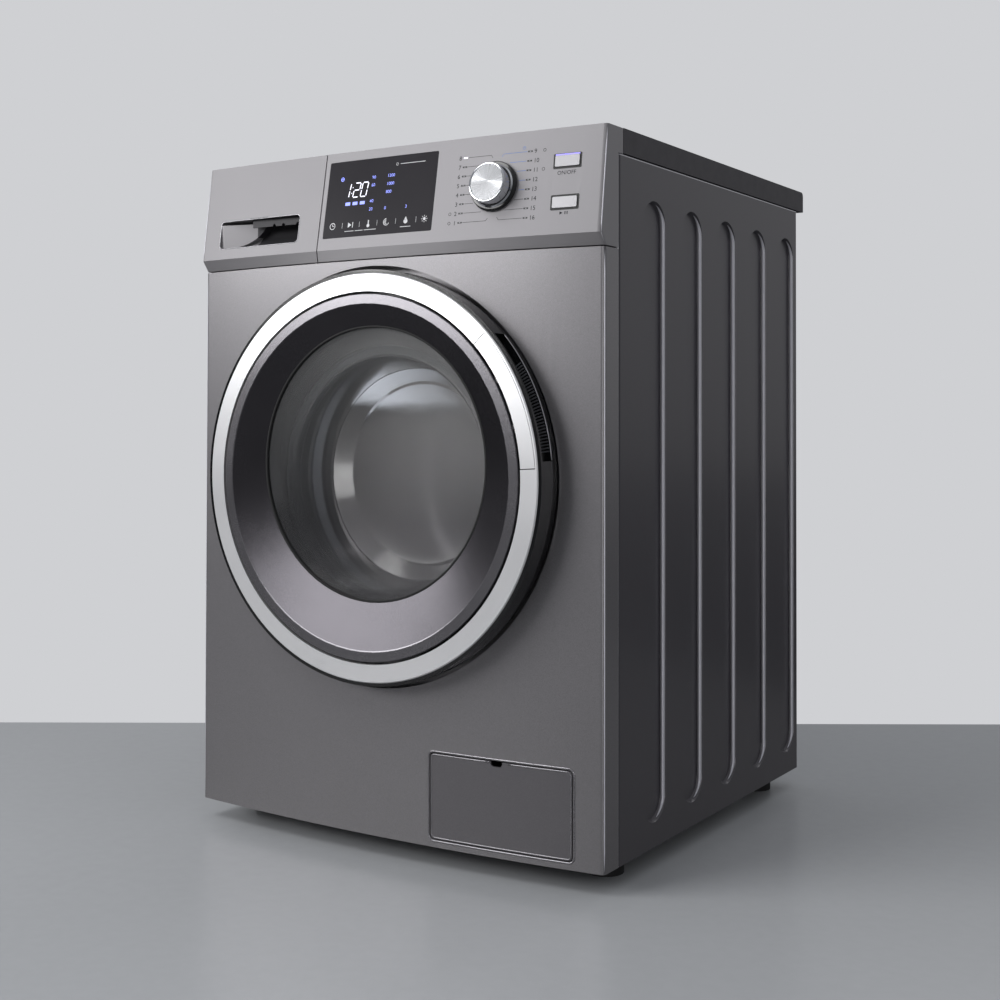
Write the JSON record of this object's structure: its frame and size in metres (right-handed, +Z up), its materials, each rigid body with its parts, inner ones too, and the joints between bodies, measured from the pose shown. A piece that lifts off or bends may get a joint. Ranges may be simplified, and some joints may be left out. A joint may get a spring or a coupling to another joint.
{
  "type": "front loading washer dryer",
  "caption": "Free-standing front-loading washer dryer: bowed steel front, round glazed door with a tilting handle, drawer, knob, drum drive.",
  "frame": {"origin": "on the floor plane under the middle of the whole machine", "axes": "+X to the right seen from the front, -Y out of the front, +Z up"},
  "size_m": [0.595, 0.655, 0.85],
  "materials": {
    "panel_paint": "satin metallic paint",
    "side_paint": "satin dark metallic paint",
    "fascia_plastic": "fine satin metallic plastic",
    "bright_trim": "satin silver",
    "dark_trim": "dark metallic lacquer",
    "black_gloss": "gloss",
    "display": "dark tinted window",
    "lamp": "clear diffusing plastic",
    "knob_metal": "brushed face, bright edge",
    "door_glass": "clear",
    "black_plastic": "matte",
    "white_plastic": "satin",
    "blue_plastic": "satin",
    "tub_plastic": "filled polypropylene, matte",
    "drum_steel": "bright rolled stainless steel",
    "galvanised": "galvanised sheet",
    "steel_parts": "plain steel",
    "cast_alloy": "as cast",
    "rubber_grey": "matte",
    "rubber_black": "matte",
    "concrete": "cast concrete",
    "top_board": "board with a satin dark lacquer"
  },
  "bodies": {
    "cabinet": {"side_panel_left": "side_paint", "side_panel_right": "side_paint", "front_panel": "panel_paint", "rear_panel": "galvanised", "rear_cover": "galvanised", "base_frame": "black_plastic", "worktop": "top_board", "top_rails": "galvanised", "control_fascia": "fascia_plastic", "display_window": "display", "indicator_lenses": "lamp", "button_bezels": "black_plastic", "dispenser_housing": "white_plastic", "hinge_bracket": "steel_parts", "door_lock": "black_plastic", "bellows": "rubber_grey", "tub_front": "tub_plastic", "tub_rear": "tub_plastic", "shaft_bearings": "steel_parts", "motor": "steel_parts", "drive_belt": "rubber_black", "counterweights": "concrete", "tub_springs": "steel_parts", "damper_tubes": "black_plastic", "damper_rods": "steel_parts", "dryer_duct": "galvanised", "fan_motor": "steel_parts", "inlet_valves": "white_plastic", "drain_pump": "tub_plastic", "pump_surround": "black_plastic", "drain_outlet": "black_plastic", "cord_gland": "black_plastic"},
    "door": {"door_shell": "black_gloss", "trim_ring": "bright_trim", "door_bezel": "dark_trim", "door_glass": "door_glass", "door_inner_frame": "black_plastic", "hinge_leaf": "steel_parts"},
    "handle": {"handle_lever": "bright_trim", "latch_hook": "steel_parts"},
    "drawer": {"drawer_front": "fascia_plastic", "drawer_tray": "white_plastic"},
    "catch_tab": {"drawer_latch": "blue_plastic"},
    "selector": {"knob": "knob_metal"},
    "power_key": {"power_button": "bright_trim"},
    "start_key": {"start_button": "bright_trim"},
    "drum_group": {"drum": "drum_steel", "drum_lifters": "tub_plastic", "drum_spider": "cast_alloy", "drum_shaft": "steel_parts", "drum_pulley": "cast_alloy"},
    "motor_rotor": {"motor_pulley": "steel_parts"},
    "fan_rotor": {"fan_wheel": "cast_alloy"},
    "flap": {"access_flap": "side_paint"},
    "filter": {"pump_filter": "blue_plastic"},
    "foot_body_front_left": {"foot_front_left": "rubber_black"},
    "foot_body_front_right": {"foot_front_right": "rubber_black"},
    "foot_body_rear_left": {"foot_rear_left": "rubber_black"},
    "foot_body_rear_right": {"foot_rear_right": "rubber_black"}
  },
  "joints": [
    {"name": "door_hinge", "type": "hinge", "parent": "cabinet", "child": "door", "pos_m": [-0.225, -0.3025, 0.453], "axis": [0, 0, -1], "range_deg": [0, 100]},
    {"name": "handle_pivot", "type": "hinge", "parent": "door", "child": "handle", "pos_m": [0.19481, -0.318, 0.53912], "axis": [0.4043, 0, -0.9146], "range_deg": [0, 10], "stiffness_Nm_per_rad": 3},
    {"name": "drawer_slide", "type": "slide", "parent": "cabinet", "child": "drawer", "axis": [0, -1, 0], "range_m": [0, 0.18]},
    {"name": "drawer_catch", "type": "hinge", "parent": "drawer", "child": "catch_tab", "pos_m": [-0.18227, -0.041, 0.7655], "axis": [1, 0, 0], "range_deg": [0, 8], "stiffness_Nm_per_rad": 0.4},
    {"name": "knob_turn", "type": "hinge", "parent": "cabinet", "child": "selector", "pos_m": [0.16, -0.28739, 0.787], "axis": [-0.0422, 0.9864, -0.159], "continuous": true},
    {"name": "power_press", "type": "slide", "parent": "cabinet", "child": "power_key", "axis": [-0.0602, 0.9883, -0.1398], "range_m": [0, 0.0015], "stiffness_N_per_m": 1300},
    {"name": "start_press", "type": "slide", "parent": "cabinet", "child": "start_key", "axis": [-0.0725, 0.9875, -0.1398], "range_m": [0, 0.0015], "stiffness_N_per_m": 1300},
    {"name": "drum_spin", "type": "hinge", "parent": "cabinet", "child": "drum_group", "pos_m": [0, -0.2775, 0.453], "axis": [0, 1, 0], "continuous": true},
    {"name": "motor_spin", "type": "hinge", "parent": "cabinet", "child": "motor_rotor", "pos_m": [-0.125, -0.2775, 0.118], "axis": [0, 1, 0], "continuous": true},
    {"name": "fan_spin", "type": "hinge", "parent": "cabinet", "child": "fan_rotor", "pos_m": [0.185, 0.0525, 0], "axis": [0, 0, 1], "continuous": true},
    {"name": "flap_hinge", "type": "hinge", "parent": "cabinet", "child": "flap", "pos_m": [0.1683, -0.2838, 0.0408], "axis": [0.9979, 0.065, 0], "range_deg": [0, 90]},
    {"name": "filter_turn", "type": "hinge", "parent": "cabinet", "child": "filter", "pos_m": [0.1683, -0.2775, 0.0863], "axis": [0, 1, 0], "range_deg": [-90, 0]},
    {"name": "foot_front_left_adjust", "type": "slide", "parent": "cabinet", "child": "foot_body_front_left", "axis": [0, 0, -1], "range_m": [0, 0.015]},
    {"name": "foot_front_right_adjust", "type": "slide", "parent": "cabinet", "child": "foot_body_front_right", "axis": [0, 0, -1], "range_m": [0, 0.015]},
    {"name": "foot_rear_left_adjust", "type": "slide", "parent": "cabinet", "child": "foot_body_rear_left", "axis": [0, 0, -1], "range_m": [0, 0.015]},
    {"name": "foot_rear_right_adjust", "type": "slide", "parent": "cabinet", "child": "foot_body_rear_right", "axis": [0, 0, -1], "range_m": [0, 0.015]}
  ],
  "couplings": [
    {"joint": "motor_spin", "follows": "drum_spin", "ratio": 12.727}
  ]
}
